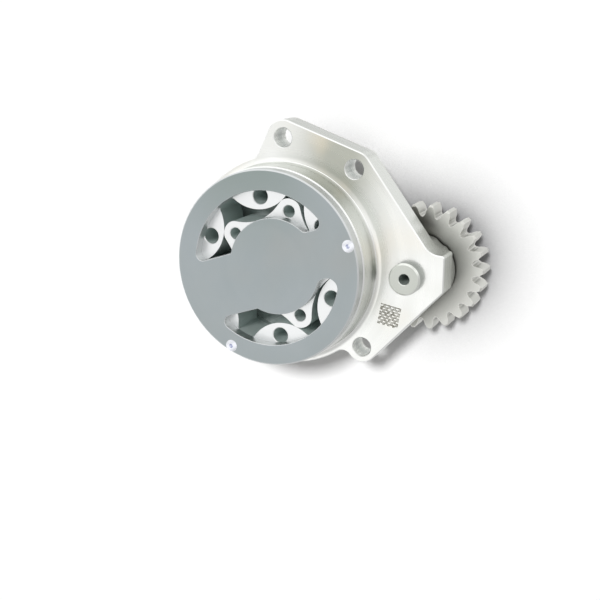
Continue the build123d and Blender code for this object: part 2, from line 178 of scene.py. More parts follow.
def buildTurning():
    # Rings left by a turning or facing tool around an axis that runs along Y.
    group, entry, leave = newGroup("turningMarks", [
        ("Vector", "NodeSocketVector", (0, 0, 0)), ("Axis X", "NodeSocketFloat", 0),
        ("Axis Z", "NodeSocketFloat", 0), ("Pitch", "NodeSocketFloat", 0.0004)],
        [("Height", "NodeSocketFloat"), ("Band", "NodeSocketFloat")])
    split = addNode(group, "ShaderNodeSeparateXYZ", (-4, 0))
    link(group, entry.outputs["Vector"], split.inputs[0])
    alongX = mathNode(group, "SUBTRACT", split.outputs[0], entry.outputs["Axis X"], place=(-3, 0))
    alongZ = mathNode(group, "SUBTRACT", split.outputs[2], entry.outputs["Axis Z"], place=(-3, 1))
    squareX = mathNode(group, "MULTIPLY", alongX, alongX, place=(-2, 0))
    squareZ = mathNode(group, "MULTIPLY", alongZ, alongZ, place=(-2, 1))
    total = mathNode(group, "ADD", squareX, squareZ, place=(-1, 0))
    radius = mathNode(group, "SQRT", total, place=(0, 0))
    travel = mathNode(group, "ADD", radius, split.outputs[1], place=(1, 0))
    turns = mathNode(group, "DIVIDE", travel, entry.outputs["Pitch"], place=(2, 0))
    for line, output, scale, detail in ((0, "Height", 1.0, groupForm["ringDetail"]),
                                        (2, "Band", groupForm["bandScale"], groupForm["bandDetail"])):
        noise = addNode(group, "ShaderNodeTexNoise", (4, line), noise_dimensions="1D")
        noise.inputs["Detail"].default_value = detail
        noise.inputs["Scale"].default_value = scale
        link(group, turns, noise.inputs["W"])
        link(group, noise.outputs["Fac"], leave.inputs[output])
    return group


def buildEdgeGlint():
    # Painted highlight along edges: 1 on the edge, 0 on open faces.
    group, entry, leave = newGroup("edgeGlint", [
        ("Width", "NodeSocketFloat", 0.0003), ("Strength", "NodeSocketFloat", 3.0)],
        [("Mask", "NodeSocketFloat")])
    rounded = addNode(group, "ShaderNodeBevel", (-2, 0), samples=groupForm["bevelSamples"])
    link(group, entry.outputs["Width"], rounded.inputs["Radius"])
    surface = addNode(group, "ShaderNodeNewGeometry", (-2, 1))
    alike = addNode(group, "ShaderNodeVectorMath", (0, 0), operation="DOT_PRODUCT")
    link(group, rounded.outputs[0], alike.inputs[0])
    link(group, surface.outputs["Normal"], alike.inputs[1])
    turn = mathNode(group, "SUBTRACT", 1, alike.outputs["Value"], place=(1, 0))
    mask = mathNode(group, "MULTIPLY", turn, entry.outputs["Strength"], place=(2, 0), clamp=True)
    link(group, mask, leave.inputs["Mask"])
    return group


def buildHollowShade():
    # Painted shade: darkens what lies deep between walls.
    group, entry, leave = newGroup("hollowShade", [
        ("Reach", "NodeSocketFloat", 0.01), ("Start", "NodeSocketFloat", 0.4),
        ("Depth", "NodeSocketFloat", 1.0)], [("Mask", "NodeSocketFloat")])
    occlusion = addNode(group, "ShaderNodeAmbientOcclusion", (-2, 0), samples=groupForm["shadeSamples"],
                        only_local=True)
    link(group, entry.outputs["Reach"], occlusion.inputs["Distance"])
    closed = mathNode(group, "SUBTRACT", 1, occlusion.outputs["AO"], place=(0, 0))
    full = mathNode(group, "ADD", entry.outputs["Start"], groupForm["hollowBlend"], place=(0, 2))
    deep = smoothStep(group, closed, entry.outputs["Start"], full, (1, 1))
    mask = mathNode(group, "MULTIPLY", deep, entry.outputs["Depth"], place=(2, 0), clamp=True)
    link(group, mask, leave.inputs["Mask"])
    return group


def buildCoverShade():
    # Shade that the flange throws on what lies just behind it, on faces that look forward.
    group, entry, leave = newGroup("coverShade", [
        ("Reach", "NodeSocketFloat", 0.012), ("Depth", "NodeSocketFloat", 1.0)],
        [("Mask", "NodeSocketFloat")])
    occlusion = addNode(group, "ShaderNodeAmbientOcclusion", (-2, 0), samples=groupForm["shadeSamples"])
    link(group, entry.outputs["Reach"], occlusion.inputs["Distance"])
    covered = mathNode(group, "SUBTRACT", 1, occlusion.outputs["AO"], place=(-1, 0))
    surface = addNode(group, "ShaderNodeNewGeometry", (-3, 2))
    split = addNode(group, "ShaderNodeSeparateXYZ", (-2, 2))
    link(group, surface.outputs["True Normal"], split.inputs[0])
    forward = mathNode(group, "LESS_THAN", split.outputs[1], groupForm["forwardLimit"], place=(-1, 2))
    shade = mathNode(group, "MULTIPLY", covered, forward, place=(0, 1))
    mask = mathNode(group, "MULTIPLY", shade, entry.outputs["Depth"], place=(1, 1), clamp=True)
    link(group, mask, leave.inputs["Mask"])
    return group


def buildFacingLight():
    # Walls is 1 on faces that run along Y, 0 on those square to it, for a painted tone on side faces.
    # Chamfers is 1 at 45 degrees, for a painted highlight.
    group, entry, leave = newGroup("facingLight", [
        ("Limit", "NodeSocketFloat", 0.55), ("Blend", "NodeSocketFloat", 0.08)],
        [("Walls", "NodeSocketFloat"), ("Chamfers", "NodeSocketFloat")])
    surface = addNode(group, "ShaderNodeNewGeometry", (-5, 0))
    split = addNode(group, "ShaderNodeSeparateXYZ", (-4, 0))
    link(group, surface.outputs["True Normal"], split.inputs[0])
    facing = mathNode(group, "ABSOLUTE", split.outputs[1], place=(-3, 0))
    upper = mathNode(group, "ADD", entry.outputs["Limit"], entry.outputs["Blend"], place=(-3, 2))
    step = smoothStep(group, facing, entry.outputs["Limit"], upper, (0, 0), falling=True)
    link(group, step, leave.inputs["Walls"])
    lean = mathNode(group, "COMPARE", facing, groupForm["chamferSlope"], groupForm["chamferRange"],
                    (0, 3))
    link(group, lean, leave.inputs["Chamfers"])
    return group


def buildWithinBore():
    # 1 on what lies inside a cylinder that runs along Y, from its mouth back to its floor.
    group, entry, leave = newGroup("withinBore", [
        ("Vector", "NodeSocketVector", (0, 0, 0)), ("Axis X", "NodeSocketFloat", 0),
        ("Axis Z", "NodeSocketFloat", 0), ("Radius", "NodeSocketFloat", 0.04),
        ("Mouth", "NodeSocketFloat", -0.014), ("Floor", "NodeSocketFloat", 0.01)],
        [("Mask", "NodeSocketFloat")])
    split = addNode(group, "ShaderNodeSeparateXYZ", (-6, 0))
    link(group, entry.outputs["Vector"], split.inputs[0])
    alongX = mathNode(group, "SUBTRACT", split.outputs[0], entry.outputs["Axis X"], place=(-5, 0))
    alongZ = mathNode(group, "SUBTRACT", split.outputs[2], entry.outputs["Axis Z"], place=(-5, 1))
    squareX = mathNode(group, "MULTIPLY", alongX, alongX, place=(-4, 0))
    square = mathNode(group, "MULTIPLY_ADD", alongZ, alongZ, squareX, (-3, 0))
    near = mathNode(group, "LESS_THAN", mathNode(group, "SQRT", square, place=(-2, 0)),
                    entry.outputs["Radius"], place=(-1, 0))
    past = mathNode(group, "GREATER_THAN", split.outputs[1], entry.outputs["Mouth"], place=(-1, 1))
    before = mathNode(group, "LESS_THAN", split.outputs[1], entry.outputs["Floor"], place=(-1, 2))
    between = mathNode(group, "MULTIPLY", past, before, place=(0, 1))
    link(group, mathNode(group, "MULTIPLY", near, between, place=(1, 0)), leave.inputs["Mask"])
    return group


def buildBroadTone():
    # A slow change of tone over a large face, strongest round one place.
    group, entry, leave = newGroup("broadTone", [
        ("Vector", "NodeSocketVector", (0, 0, 0)), ("Place", "NodeSocketVector", (0, 0, 0)),
        ("Radius", "NodeSocketFloat", 0.03), ("Strength", "NodeSocketFloat", 0.5)],
        [("Mask", "NodeSocketFloat"), ("Tint", "NodeSocketFloat")])
    away = addNode(group, "ShaderNodeVectorMath", (-4, 0), operation="DISTANCE")
    link(group, entry.outputs["Vector"], away.inputs[0])
    link(group, entry.outputs["Place"], away.inputs[1])
    share = mathNode(group, "DIVIDE", away.outputs["Value"], entry.outputs["Radius"], place=(-3, 0))
    near = smoothStep(group, share, 0.0, 1.0, (-2, 0), falling=True)
    clouds = addNode(group, "ShaderNodeTexNoise", (-2, 2))
    clouds.inputs["Scale"].default_value = groupForm["cloudScale"]
    clouds.inputs["Detail"].default_value = groupForm["cloudDetail"]
    link(group, entry.outputs["Vector"], clouds.inputs["Vector"])
    tinted = smoothStep(group, clouds.outputs["Fac"], groupForm["tintFrom"], groupForm["tintTo"], (0, 3))
    link(group, tinted, leave.inputs["Tint"])
    cloudy = mathNode(group, "MULTIPLY_ADD", clouds.outputs["Fac"], groupForm["cloudWeight"], near,
                      (0, 1))
    lowered = mathNode(group, "SUBTRACT", cloudy, groupForm["cloudFloor"], place=(1, 1), clamp=True)
    mask = mathNode(group, "MULTIPLY", lowered, entry.outputs["Strength"], place=(2, 1), clamp=True)
    link(group, mask, leave.inputs["Mask"])
    return group


fineGrain = buildGrain()
turningMarks = buildTurning()
edgeGlint = buildEdgeGlint()
hollowShade = buildHollowShade()
coverShade = buildCoverShade()
broadTone = buildBroadTone()
facingLight = buildFacingLight()
withinBore = buildWithinBore()
print("shader groups built")


# Colour and stain are a metal's bare face and its slow change, and glint is a painted highlight on its
# edges.
# Hollow is the colour of painted shade in its depths. Walls and chamfers are painted tones on side faces
# and
# front chamfers: shade on most metals, lighter side walls on the cover, highlight on chamfers. The axis
# is that of the rings left by turning.
metals = {
    "housing": {
        "colour": (0.965, 0.97, 0.965), "stain": (0.91, 0.92, 0.895), "glint": (1.0, 1.0, 1.0),
        "hollow": (0.47, 0.53, 0.515), "roughness": 0.28, "spread": 0.12, "grain": 0.00035,
        "grainDepth": 0.000004, "ringPitch": 0.0005, "ringDepth": 0.000004, "edge": 0.00035,
        "edgeStrength": 3.5, "hollowReach": 0.010, "hollowStart": 0.55, "hollowDepth": 0.8, "shadeDulling": 0.92,
        "axis": (0, 0), "tone": (0.48, 0.49, 0.435), "warmTone": (0.80, 0.72, 0.57),
        "tonePlace": (0.030, 0.0, 0.050), "toneRadius": 0.037, "toneStrength": 1.0,
        "walls": (0.76, 0.78, 0.75), "chamfers": (0.97, 0.98, 0.97), "chamferRear": 0.0131,
        "wallShade": 0, "pocketRadius": 0.0402, "pocketMouth": -0.0143, "pocketFloor": 0.0098},
    "cover": {
        "colour": (0.385, 0.430, 0.452), "stain": (0.430, 0.465, 0.480), "glint": (0.72, 0.75, 0.77),
        "hollow": (0.12, 0.13, 0.13), "roughness": 0.46, "spread": 0.08, "grain": 0.00025,
        "grainDepth": 0.000004, "ringPitch": 0.0006, "ringDepth": 0.000001, "edge": 0.0005,
        "edgeStrength": 5, "hollowReach": 0.006, "hollowStart": 0.5, "hollowDepth": 0.5, "shadeDulling": 0.3,
        "axis": (0, 0), "tone": (0.315, 0.365, 0.355), "warmTone": (0.385, 0.390, 0.370),
        "tonePlace": (-0.008, -0.02, 0.046), "toneRadius": 0.048, "toneStrength": 0.9,
        "walls": (0.74, 0.76, 0.76), "chamfers": (0.74, 0.76, 0.77), "chamferRear": 1.0, "wallShade": 0},
    "rotor": {
        "colour": (0.905, 0.92, 0.935), "stain": (0.85, 0.86, 0.865), "glint": (1.0, 1.0, 1.0),
        "hollow": (0.60, 0.68, 0.66), "roughness": 0.36, "spread": 0.10, "grain": 0.0002,
        "grainDepth": 0.000006, "ringPitch": 0.0007, "ringDepth": 0.000001, "edge": 0.0003,
        "edgeStrength": 3, "hollowReach": 0.008, "hollowStart": 0.55, "hollowDepth": 1.5, "shadeDulling": 0.92,
        "axis": (0, 0), "walls": (0.42, 0.48, 0.465), "chamfers": (1.0, 1.0, 1.0), "chamferRear": 1.0,
        "wallShade": 0.85},
    "gear": {
        "colour": (0.70, 0.705, 0.67), "stain": (0.77, 0.77, 0.735), "glint": (0.95, 0.95, 0.92),
        "hollow": (0.10, 0.10, 0.09), "roughness": 0.42, "spread": 0.10, "grain": 0.0003,
        "grainDepth": 0.000008, "ringPitch": 0.0005, "ringDepth": 0.000003, "edge": 0.0005,
        "edgeStrength": 6, "hollowReach": 0.006, "hollowStart": 0.45, "hollowDepth": 0.8, "shadeDulling": 0.3,
        "axis": (pinAxis.x, pinAxis.z), "coverReach": 0.013, "coverDepth": 1.6},
    "pin": {
        "colour": (0.60, 0.62, 0.58), "stain": (0.54, 0.56, 0.52), "glint": (1.0, 1.0, 1.0),
        "hollow": (0.40, 0.45, 0.42), "roughness": 0.26, "spread": 0.06, "grain": 0.0002,
        "grainDepth": 0.000002, "ringPitch": 0.0003, "ringDepth": 0.000002, "edge": 0.0002,
        "edgeStrength": 4, "hollowReach": 0.004, "hollowStart": 0.5, "hollowDepth": 0.5, "shadeDulling": 0.92,
        "axis": (pinAxis.x, pinAxis.z), "walls": (0.34, 0.36, 0.34), "chamfers": (0.84, 0.86, 0.82),
        "chamferRear": 1.0, "wallShade": 0, "pocketRadius": 0.00255, "pocketMouth": -1.0,
        "pocketFloor": 1.0},
    "screw": {
        "colour": (0.93, 0.94, 0.97), "stain": (0.82, 0.84, 0.93), "glint": (1.0, 1.0, 1.0),
        "hollow": (0.58, 0.61, 0.80), "roughness": 0.22, "spread": 0.05, "grain": 0.0002,
        "grainDepth": 0.000002, "ringPitch": 0.0002, "ringDepth": 0.000001, "edge": 0.0002,
        "edgeStrength": 3, "hollowReach": 0.0012, "hollowStart": 0.3, "hollowDepth": 1.2, "shadeDulling": 0.2,
        "axis": (0, 0)},
    "bronze": {
        "colour": (0.62, 0.43, 0.22), "stain": (0.52, 0.37, 0.20), "glint": (0.90, 0.72, 0.45),
        "hollow": (0.12, 0.08, 0.04), "roughness": 0.34, "spread": 0.08, "grain": 0.0003,
        "grainDepth": 0.000004, "ringPitch": 0.0004, "ringDepth": 0.000002, "edge": 0.0002,
        "edgeStrength": 3, "hollowReach": 0.003, "hollowStart": 0.4, "hollowDepth": 0.8, "shadeDulling": 0.3,
        "axis": (pinAxis.x, pinAxis.z)},
    "washer": {
        "colour": (0.46, 0.47, 0.46), "stain": (0.40, 0.41, 0.40), "glint": (0.85, 0.86, 0.85),
        "hollow": (0.10, 0.10, 0.10), "roughness": 0.34, "spread": 0.08, "grain": 0.0003,
        "grainDepth": 0.000004, "ringPitch": 0.0004, "ringDepth": 0.000002, "edge": 0.0002,
        "edgeStrength": 3, "hollowReach": 0.003, "hollowStart": 0.4, "hollowDepth": 0.8, "shadeDulling": 0.3,
        "axis": (shaftAxis.x, shaftAxis.z)},
    "mark": {
        "colour": (0.20, 0.19, 0.15), "stain": (0.28, 0.27, 0.22), "glint": (0.40, 0.39, 0.34),
        "hollow": (0.20, 0.20, 0.17), "roughness": 0.62, "spread": 0.06, "grain": 0.0002,
        "grainDepth": 0.000004, "ringPitch": 0.0004, "ringDepth": 0.000001, "edge": 0.00005,
        "edgeStrength": 0.5, "hollowReach": 0.001, "hollowStart": 0.8, "hollowDepth": 0.2, "shadeDulling": 0.9,
        "axis": (pinAxis.x, pinAxis.z)},
    "clip": {
        "colour": (0.10, 0.105, 0.11), "stain": (0.14, 0.14, 0.15), "glint": (0.45, 0.46, 0.48),
        "hollow": (0.03, 0.03, 0.03), "roughness": 0.38, "spread": 0.08, "grain": 0.0002,
        "grainDepth": 0.000004, "ringPitch": 0.0004, "ringDepth": 0.000001, "edge": 0.0002,
        "edgeStrength": 3, "hollowReach": 0.003, "hollowStart": 0.4, "hollowDepth": 0.6, "shadeDulling": 0.3,
        "axis": (pinAxis.x, pinAxis.z)},
}


def buildMetal(name, look):
    material = bpy.data.materials.new(name)
    material.use_nodes = True
    tree = material.node_tree
    shader = tree.nodes["Principled BSDF"]
    place = addNode(tree, "ShaderNodeTexCoord", (-8, 0)).outputs["Object"]
    grain = useGroup(tree, fineGrain, (-6, 0), Vector=place, Grain_Size=look["grain"],
                     Stain_Size=groupForm["stainSize"])
    rings = useGroup(tree, turningMarks, (-6, 2), Vector=place, Axis_X=look["axis"][0],
                     Axis_Z=look["axis"][1], Pitch=look["ringPitch"])
    glint = useGroup(tree, edgeGlint, (-6, 4), Width=look["edge"], Strength=look["edgeStrength"])
    hollow = useGroup(tree, hollowShade, (-6, 6), Reach=look["hollowReach"], Start=look["hollowStart"],
                      Depth=look["hollowDepth"])
    stainedAndLit = mixColour(tree, grain.outputs["Stain"], look["colour"], look["stain"], (-4, 0))
    if "tone" in look:
        tone = useGroup(tree, broadTone, (-6, 8), Vector=place, Place=look["tonePlace"],
                        Radius=look["toneRadius"], Strength=look["toneStrength"])
        toneColour = mixColour(tree, tone.outputs["Tint"], look["tone"], look["warmTone"], (-5, 8))
        stainedAndLit = mixColour(tree, tone.outputs["Mask"], stainedAndLit, toneColour, (-4, 8))
    paintedShadeMask = hollow.outputs["Mask"]
    if "walls" in look:
        faces = useGroup(tree, facingLight, (-6, 10), Limit=groupForm["wallLimit"],
                         Blend=groupForm["wallBlend"])
        walls = faces.outputs["Walls"]
        # Side walls get a painted tone: shade on most metals, lighter on the cover.
        stainedAndLit = mixColour(tree, walls, stainedAndLit, look["walls"], (-4, 10))
        split = addNode(tree, "ShaderNodeSeparateXYZ", (-6, 16))
        link(tree, place, split.inputs[0])
        # Front chamfers get a painted highlight.
        ahead = mathNode(tree, "LESS_THAN", split.outputs[1], look["chamferRear"], place=(-5, 16))
        chamferHighlight = mathNode(tree, "MULTIPLY", faces.outputs["Chamfers"], ahead, place=(-5, 15))
        stainedAndLit = mixColour(tree, chamferHighlight, stainedAndLit, look["chamfers"], (-4, 11))
        # Side walls take part of the painted shade as well.
        if look["wallShade"]:
            shadedWalls = mathNode(tree, "MULTIPLY", walls, look["wallShade"])
            paintedShadeMask = mathNode(tree, "MAXIMUM", paintedShadeMask, shadedWalls)
    # Inside this bore the painted shade is full.
    if "pocketRadius" in look:
        pocket = useGroup(tree, withinBore, (-6, 12), Vector=place, Axis_X=look["axis"][0],
                          Axis_Z=look["axis"][1], Radius=look["pocketRadius"],
                          Mouth=look["pocketMouth"], Floor=look["pocketFloor"])
        paintedShadeMask = mathNode(tree, "MAXIMUM", paintedShadeMask, pocket.outputs["Mask"])
    # The hollow colour is painted shade, mixed in by the mask.
    shaded = mixColour(tree, paintedShadeMask, stainedAndLit, look["hollow"], (-3, 0))
    if "coverReach" in look:
        cast = useGroup(tree, coverShade, (-6, 18), Reach=look["coverReach"], Depth=look["coverDepth"])
        shaded = mixColour(tree, cast.outputs["Mask"], shaded, look["hollow"], (-3, 1))
    # Under painted shade the metal loses its shine by shadeDulling.
    dulled = mathNode(tree, "MULTIPLY_ADD", paintedShadeMask, -look["shadeDulling"], 1.0, (-3, 6), clamp=True)
    link(tree, dulled, shader.inputs["Metallic"])
    # The glint colour is a painted highlight on the edges.
    edged = mixColour(tree, glint.outputs["Mask"], shaded, look["glint"], (-2, 0))
    link(tree, edged, shader.inputs["Base Color"])
    spread = mathNode(tree, "MULTIPLY_ADD", rings.outputs["Band"], look["spread"],
                      look["roughness"] - look["spread"] / 2, (-3, 2))
    link(tree, spread, shader.inputs["Roughness"])
    bumps = []
    for column, source, depth in ((-3, grain, look["grainDepth"]), (-2, rings, look["ringDepth"])):
        bump = addNode(tree, "ShaderNodeBump", (column, 4))
        bump.inputs["Distance"].default_value = depth
        link(tree, source.outputs["Height"], bump.inputs["Height"])
        bumps.append(bump)
    link(tree, bumps[0].outputs[0], bumps[1].inputs["Normal"])
    link(tree, bumps[1].outputs[0], shader.inputs["Normal"])
    return material


materials = {name: buildMetal(name + "Metal", look) for name, look in metals.items()}
nodeMetals = {
    "pump_housing": "housing", "port_cover": "cover", "cover_screws": "screw", "cover_dowels": "pin",
    "shaft_bush_front": "bronze", "shaft_bush_rear": "bronze", "outer_rotor": "rotor",
    "inner_rotor": "rotor", "rotor_key": "pin", "drive_shaft": "pin", "shaft_thrust_washer": "washer",
    "drive_gear": "gear", "gear_key": "pin", "gear_washer": "washer", "gear_nut": "washer",
    "idler_pin": "pin", "idler_front_washer": "washer", "idler_gear": "gear", "idler_bush": "bronze",
    "idler_rear_washer": "washer", "idler_clip": "clip",
}
for name, metal in nodeMetals.items():
    for slot in nodes[name].material_slots:
        slot.material = materials[metal]
print("metals assigned")


def newTree(name, inputs):
    tree = bpy.data.node_groups.new(name, "GeometryNodeTree")
    for label, kind, value in inputs:
        socket = tree.interface.new_socket(label, in_out="INPUT", socket_type=kind)
        if value is not None:
            socket.default_value = value
    tree.interface.new_socket("Geometry", in_out="OUTPUT", socket_type="NodeSocketGeometry")
    entry = addNode(tree, "NodeGroupInput", (-10, 0))
    leave = addNode(tree, "NodeGroupOutput", (20, 0))
    return tree, entry.outputs, leave.inputs["Geometry"]


def combine(tree, x, y, z, place):
    node = addNode(tree, "ShaderNodeCombineXYZ", place)
    for index, value in enumerate((x, y, z)):
        if isinstance(value, (int, float)):
            node.inputs[index].default_value = value
        else:
            link(tree, value, node.inputs[index])
    return node.outputs[0]


def addVectors(tree, first, second, place):
    node = addNode(tree, "ShaderNodeVectorMath", place, operation="ADD")
    link(tree, first, node.inputs[0])
    link(tree, second, node.inputs[1])
    return node.outputs[0]


def finishTree(tree, shape, material, give, column):
    solid = addNode(tree, "GeometryNodeRealizeInstances", (column, 0))
    link(tree, shape, solid.inputs["Geometry"])
    coat = addNode(tree, "GeometryNodeSetMaterial", (column + 1, 0))
    link(tree, solid.outputs[0], coat.inputs["Geometry"])
    link(tree, material, coat.inputs["Material"])
    link(tree, coat.outputs[0], give)


def growPiece(name, tree, values, replaced, body, material):
    # Runs a tree on an empty mesh, keeps the result as a plain mesh, hides the part it stands in for and
    # hangs it on its body.
    seed = bpy.data.objects.new(name + "Seed", bpy.data.meshes.new(name + "Seed"))
    bpy.context.scene.collection.objects.link(seed)
    modifier = seed.modifiers.new("grow", "NODES")
    modifier.node_group = tree
    sockets = {item.name: item.identifier for item in tree.interface.items_tree if item.in_out == "INPUT"}
    for label, value in values.items():
        modifier[sockets[label]] = value
    graph = bpy.context.evaluated_depsgraph_get()
    mesh = bpy.data.meshes.new_from_object(seed.evaluated_get(graph))
    seed.modifiers.remove(modifier)
    bpy.data.objects.remove(seed)
    shape = bmesh.new()
    shape.from_mesh(mesh)
    bmesh.ops.remove_doubles(shape, verts=shape.verts, dist=weldDistance)
    bmesh.ops.dissolve_degenerate(shape, edges=shape.edges, dist=sliverDistance)
    bmesh.ops.recalc_face_normals(shape, faces=shape.faces)
    shape.to_mesh(mesh)
    shape.free()
    mesh.name = name
    piece = bpy.data.objects.new(name, mesh)
    bpy.context.scene.collection.objects.link(piece)
    mesh.materials.clear()
    mesh.materials.append(material)
    if replaced:
        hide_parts(replaced)
    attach(piece, body)
    return piece


gearForm = {"module": 0.0025, "pressureAngle": 20.0, "rootDepth": 1.25, "backlash": 0.00012,
            "tipChamfer": 0.0007, "rimWall": 0.0034, "hubWall": 0.005, "recess": 0.0025,
            "keyWidth": 0.004, "keyHeight": 0.004, "keySunk": 0.55, "smoothBelow": 28.0}
flankSteps = 4    # columns to a flank, and as many across the tip and the root
rootStart = 3 * flankSteps
columnsPerTooth = 4 * flankSteps
sectionRows = 10    # one less than the corners of the section


def buildWheelTree():
    # A grid wrapped round an axis: one column per step along the tooth outline, one row per
    # corner of the wheel's section, closed into a ring when the doubles are merged.
    tree, take, give = newTree("toothedWheel", [
        ("Teeth", "NodeSocketInt", 22), ("Module", "NodeSocketFloat", 0.0025),
        ("Pressure Angle", "NodeSocketFloat", 20.0), ("Root Depth", "NodeSocketFloat", 1.25),
        ("Backlash", "NodeSocketFloat", 0.0001), ("Tip Chamfer", "NodeSocketFloat", 0.0007),
        ("Bore Radius", "NodeSocketFloat", 0.009), ("Hub Radius", "NodeSocketFloat", 0.014),
        ("Rim Wall", "NodeSocketFloat", 0.0034), ("Recess", "NodeSocketFloat", 0.0025),
        ("Front", "NodeSocketFloat", 0.02), ("Rear", "NodeSocketFloat", 0.03),
        ("Turn", "NodeSocketFloat", 0.0), ("Centre", "NodeSocketVector", (0, 0, 0)),
        ("Key Size", "NodeSocketVector", (0.001, 0.001, 0.001)), ("Key Lift", "NodeSocketFloat", 0.0),
        ("Material", "NodeSocketMaterial", None)])

    calc = calculator(tree)
    columns = calc("MULTIPLY", take["Teeth"], columnsPerTooth)
    grid = addNode(tree, "GeometryNodeMeshGrid", (-4, 0))
    link(tree, columns, grid.inputs["Size X"])
    grid.inputs["Size Y"].default_value = sectionRows
    link(tree, calc("ADD", columns, 1), grid.inputs["Vertices X"])
    grid.inputs["Vertices Y"].default_value = sectionRows + 1
    place = addNode(tree, "ShaderNodeSeparateXYZ", (-2, 2))
    link(tree, addNode(tree, "GeometryNodeInputPosition", (-3, 2)).outputs[0], place.inputs[0])
    column = calc("ROUND", calc("MULTIPLY_ADD", columns, 0.5, place.outputs[0]))
    row = calc("ROUND", calc("ADD", place.outputs[1], sectionRows / 2))
    tooth = calc("FLOOR", calc("DIVIDE", column, columnsPerTooth))
    step = calc("SUBTRACT", column, calc("MULTIPLY", tooth, columnsPerTooth))

    # Radii of the tooth form and half its angle at the base circle.
    pitchRadius = calc("MULTIPLY", take["Module"], calc("MULTIPLY", take["Teeth"], 0.5))
    lean = calc("RADIANS", take["Pressure Angle"])
    baseRadius = calc("MULTIPLY", pitchRadius, calc("COSINE", lean))
    tipRadius = calc("ADD", pitchRadius, take["Module"])
    rootRadius = calc("SUBTRACT", pitchRadius, calc("MULTIPLY", take["Module"], take["Root Depth"]))
    pitch = calc("DIVIDE", 2 * pi, take["Teeth"])
    width = calc("MULTIPLY_ADD", take["Module"], pi, calc("MULTIPLY", take["Backlash"], -1))
    halfTooth = calc("ADD", calc("DIVIDE", width, calc("MULTIPLY", pitchRadius, 4)),
                     calc("SUBTRACT", calc("TANGENT", lean), lean))

    # The steps of a tooth climb one flank, cross the tip, go down the other flank and cross the root.
    climb = calc("MINIMUM", step, calc("SUBTRACT", rootStart, step))
    climb = mathNode(tree, "DIVIDE", calc("MAXIMUM", climb, 0), flankSteps, clamp=True)
    rise = calc("MULTIPLY", calc("MULTIPLY", climb, climb), calc("SUBTRACT", tipRadius, baseRadius))
    flankRadius = calc("ADD", baseRadius, rise)
    opening = calc("ARCCOSINE", calc("MINIMUM", calc("DIVIDE", baseRadius, flankRadius), 1))
    spread = calc("SUBTRACT", halfTooth, calc("SUBTRACT", calc("TANGENT", opening), opening))
    side = calc("MAXIMUM", calc("MINIMUM", calc("MULTIPLY_ADD", step, 2 / flankSteps, -3), 1), -1)
    across = mathNode(tree, "DIVIDE", calc("MAXIMUM", calc("SUBTRACT", step, rootStart), 0), flankSteps,
                      clamp=True)
    dip = calc("MULTIPLY", calc("MULTIPLY", across, calc("SUBTRACT", 1, across)), 4)
    undercut = calc("MULTIPLY", dip, calc("SUBTRACT", baseRadius, rootRadius))
    radius = calc("SUBTRACT", flankRadius, undercut)
    gap = calc("SUBTRACT", pitch, calc("MULTIPLY", spread, 2))
    angle = calc("ADD", calc("MULTIPLY", side, spread), calc("MULTIPLY", across, gap))
    angle = calc("ADD", calc("ADD", angle, calc("MULTIPLY", tooth, pitch)), take["Turn"])

    # Corners of the section, from the bore round the teeth and the web back to the bore.
    tipCone = calc("SUBTRACT", tipRadius, take["Tip Chamfer"])
    faceRadius = calc("MINIMUM", radius, tipCone)
    fall = calc("SUBTRACT", radius, faceRadius)
    front, rear, recess = take["Front"], take["Rear"], take["Recess"]
    rim = calc("SUBTRACT", rootRadius, take["Rim Wall"])
    webFloor = calc("SUBTRACT", rear, recess)
    section = [
        (take["Bore Radius"], front), (faceRadius, front), (radius, calc("ADD", front, fall)),
        (radius, calc("SUBTRACT", rear, fall)), (faceRadius, rear), (rim, rear),
        (calc("SUBTRACT", rim, recess), webFloor), (calc("ADD", take["Hub Radius"], recess), webFloor),
        (take["Hub Radius"], rear), (take["Bore Radius"], rear), (take["Bore Radius"], front)]
    picked = []
    for part in (0, 1):
        pick = addNode(tree, "GeometryNodeIndexSwitch", (6, part * 3), data_type="FLOAT")
        while len(pick.index_switch_items) < len(section):
            pick.index_switch_items.new()
        link(tree, row, pick.inputs[0])
        for index, corner in enumerate(section):
            link(tree, corner[part], pick.inputs[index + 1])
        picked.append(pick.outputs[0])
    spot = combine(tree, calc("MULTIPLY", picked[0], calc("COSINE", angle)), picked[1],
                   calc("MULTIPLY", picked[0], calc("SINE", angle)), (9, 2))
    wrap = addNode(tree, "GeometryNodeSetPosition", (11, 0))
    link(tree, grid.outputs["Mesh"], wrap.inputs["Geometry"])
    link(tree, addVectors(tree, spot, take["Centre"], (10, 2)), wrap.inputs["Position"])
    merge = addNode(tree, "GeometryNodeMergeByDistance", (12, 0))
    merge.inputs["Distance"].default_value = weldDistance
    link(tree, wrap.outputs[0], merge.inputs["Geometry"])

    # The keyway is cut by a block that stands in the bore.
    block = addNode(tree, "GeometryNodeMeshCube", (12, 3))
    link(tree, take["Key Size"], block.inputs["Size"])
    middle = calc("MULTIPLY", calc("ADD", front, rear), 0.5)
    raised = combine(tree, 0, middle, take["Key Lift"], (12, 4))
    lifted = addNode(tree, "GeometryNodeTransform", (14, 3))
    link(tree, block.outputs["Mesh"], lifted.inputs["Geometry"])
    link(tree, addVectors(tree, raised, take["Centre"], (13, 4)), lifted.inputs["Translation"])
    cut = addNode(tree, "GeometryNodeMeshBoolean", (15, 0), operation="DIFFERENCE")
    link(tree, merge.outputs[0], cut.inputs["Mesh 1"])
    link(tree, lifted.outputs[0], cut.inputs["Mesh 2"])

